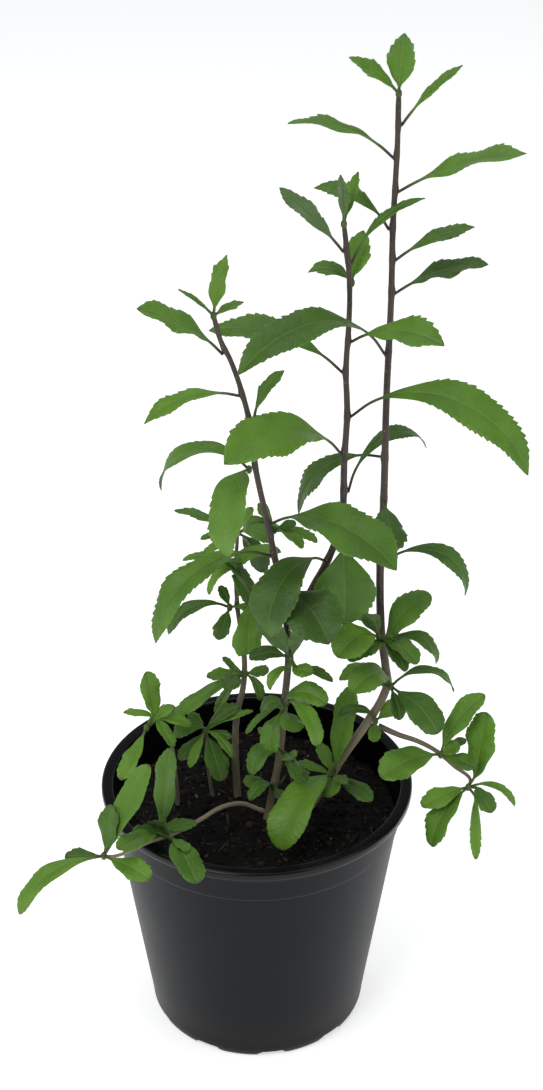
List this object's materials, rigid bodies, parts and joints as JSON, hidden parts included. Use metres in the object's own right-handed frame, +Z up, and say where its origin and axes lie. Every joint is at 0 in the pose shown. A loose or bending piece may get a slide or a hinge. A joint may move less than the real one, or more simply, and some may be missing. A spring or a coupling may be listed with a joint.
{
  "type": "potted goji berry plant",
  "caption": "Young leafy shrub with thin upright stems, toothed leaves and small side shoots, growing in soil in a round black nursery pot.",
  "frame": {"origin": "centre of the pot's base, on the surface that it stands on", "axes": "+Z up along the pot's axis; -Y is the front, where the long side runner comes towards the viewer on the left; +X is to the right"},
  "size_m": [0.2619, 0.1859, 0.5533],
  "materials": {
    "pot_plastic": "moulded black polypropylene, satin, with fine scuffs",
    "potting_soil": "damp dark peat with small pale specks, matt",
    "leaf": "fresh green leaf, satin, with a paler midrib and veins",
    "young_leaf": "lighter green small leaf, satin",
    "purple_stem": "young purplish brown bark, satin",
    "woody_stem": "grey brown bark, matt",
    "pale_stem": "pale tan bark, matt"
  },
  "bodies": {
    "root": {"pot": "pot_plastic", "soil": "potting_soil", "stem_tall": "purple_stem", "stem_left": "purple_stem", "stem_middle": "purple_stem", "stem_back": "woody_stem", "runner": "pale_stem", "branch_right": "purple_stem", "shoot_left": "woody_stem", "shoot_small": "woody_stem", "cut_stub": "pale_stem", "leaf_tall_1": "leaf", "leaf_tall_2": "leaf", "leaf_tall_3": "leaf", "leaf_tall_4": "leaf", "leaf_tall_5": "leaf", "leaf_tall_6": "leaf", "leaf_tall_7": "leaf", "leaf_tall_8": "leaf", "leaf_tall_9": "leaf", "leaf_tall_10": "leaf", "leaf_left_1": "leaf", "leaf_left_2": "leaf", "leaf_left_3": "leaf", "leaf_left_4": "leaf", "leaf_left_5": "leaf", "leaf_left_6": "leaf", "leaf_middle_1": "leaf", "leaf_middle_2": "leaf", "leaf_middle_3": "leaf", "leaf_middle_4": "leaf", "leaf_middle_5": "leaf", "leaf_middle_6": "leaf", "leaf_middle_7": "leaf", "leaf_middle_8": "leaf", "leaf_middle_9": "leaf", "tuft_tall_1": "young_leaf", "tuft_tall_2": "young_leaf", "tuft_tall_3": "young_leaf", "tuft_tall_4": "young_leaf", "tuft_tall_tip": "young_leaf", "tuft_left_1": "young_leaf", "tuft_left_2": "young_leaf", "tuft_left_3": "young_leaf", "tuft_left_4": "young_leaf", "tuft_left_5": "young_leaf", "tuft_left_6": "young_leaf", "tuft_left_tip": "young_leaf", "tuft_middle_1": "young_leaf", "tuft_middle_tip": "young_leaf", "tuft_back_1": "young_leaf", "tuft_back_2": "young_leaf", "tuft_back_3": "young_leaf", "tuft_back_tip": "young_leaf", "tuft_runner_1": "young_leaf", "tuft_runner_tip": "young_leaf", "tuft_branch_1": "young_leaf", "tuft_branch_tip": "young_leaf", "tuft_shoot_tip": "young_leaf", "tuft_small_tip": "young_leaf"}
  },
  "joints": []
}
